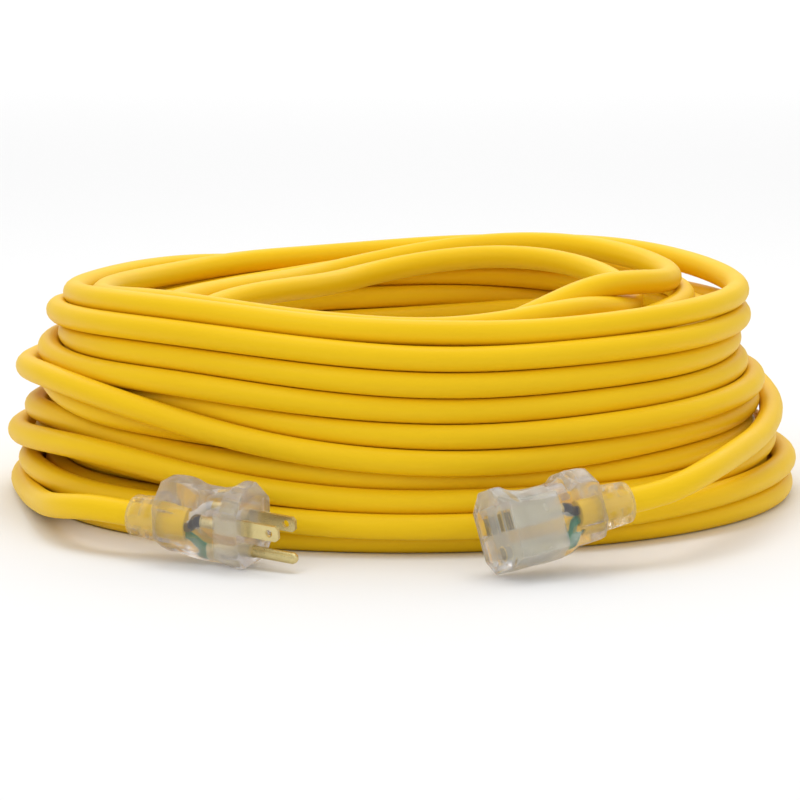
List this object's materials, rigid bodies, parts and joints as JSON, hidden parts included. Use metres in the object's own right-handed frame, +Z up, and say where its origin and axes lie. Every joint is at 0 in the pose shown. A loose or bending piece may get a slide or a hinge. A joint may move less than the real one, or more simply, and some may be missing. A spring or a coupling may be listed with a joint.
{
  "type": "extension cord",
  "caption": "Coiled three-wire outdoor extension cord, yellow round jacket, with a clear moulded three-blade plug and a matching clear moulded connector.",
  "frame": {"origin": "on the floor, under the middle of the whole part's box", "axes": "+Z up, +Y from the two moulded ends towards the back of the coil, along the part's longest side"},
  "size_m": [0.3559, 0.4119, 0.104],
  "materials": {
    "yellow_jacket": "gloss",
    "clear_vinyl": "gloss",
    "clear_insert": "gloss",
    "milky_insert": "satin",
    "brass": "satin",
    "copper": "satin",
    "black_insulation": "gloss",
    "white_insulation": "gloss",
    "green_insulation": "gloss",
    "lamp_glass": "gloss",
    "resistor_body": "matte"
  },
  "bodies": {
    "root": {"connector_black_strands": "copper", "connector_black_wire": "black_insulation", "connector_body": "clear_vinyl", "connector_core": "milky_insert", "connector_green_strands": "copper", "connector_green_wire": "green_insulation", "connector_ground_contact": "brass", "connector_hot_contact": "brass", "connector_jacket_end": "yellow_jacket", "connector_lamp": "lamp_glass", "connector_lead": "yellow_jacket", "connector_neutral_contact": "brass", "connector_resistor": "resistor_body", "connector_strain_relief": "clear_vinyl", "connector_white_strands": "copper", "connector_white_wire": "white_insulation", "cord_coil": "yellow_jacket", "plug_black_strands": "copper", "plug_black_wire": "black_insulation", "plug_blade_carrier": "clear_insert", "plug_body": "clear_vinyl", "plug_green_strands": "copper", "plug_green_wire": "green_insulation", "plug_ground_pin": "brass", "plug_hot_blade": "brass", "plug_jacket_end": "yellow_jacket", "plug_lead": "yellow_jacket", "plug_neutral_blade": "brass", "plug_strain_relief": "clear_vinyl", "plug_white_strands": "copper", "plug_white_wire": "white_insulation"}
  },
  "joints": []
}
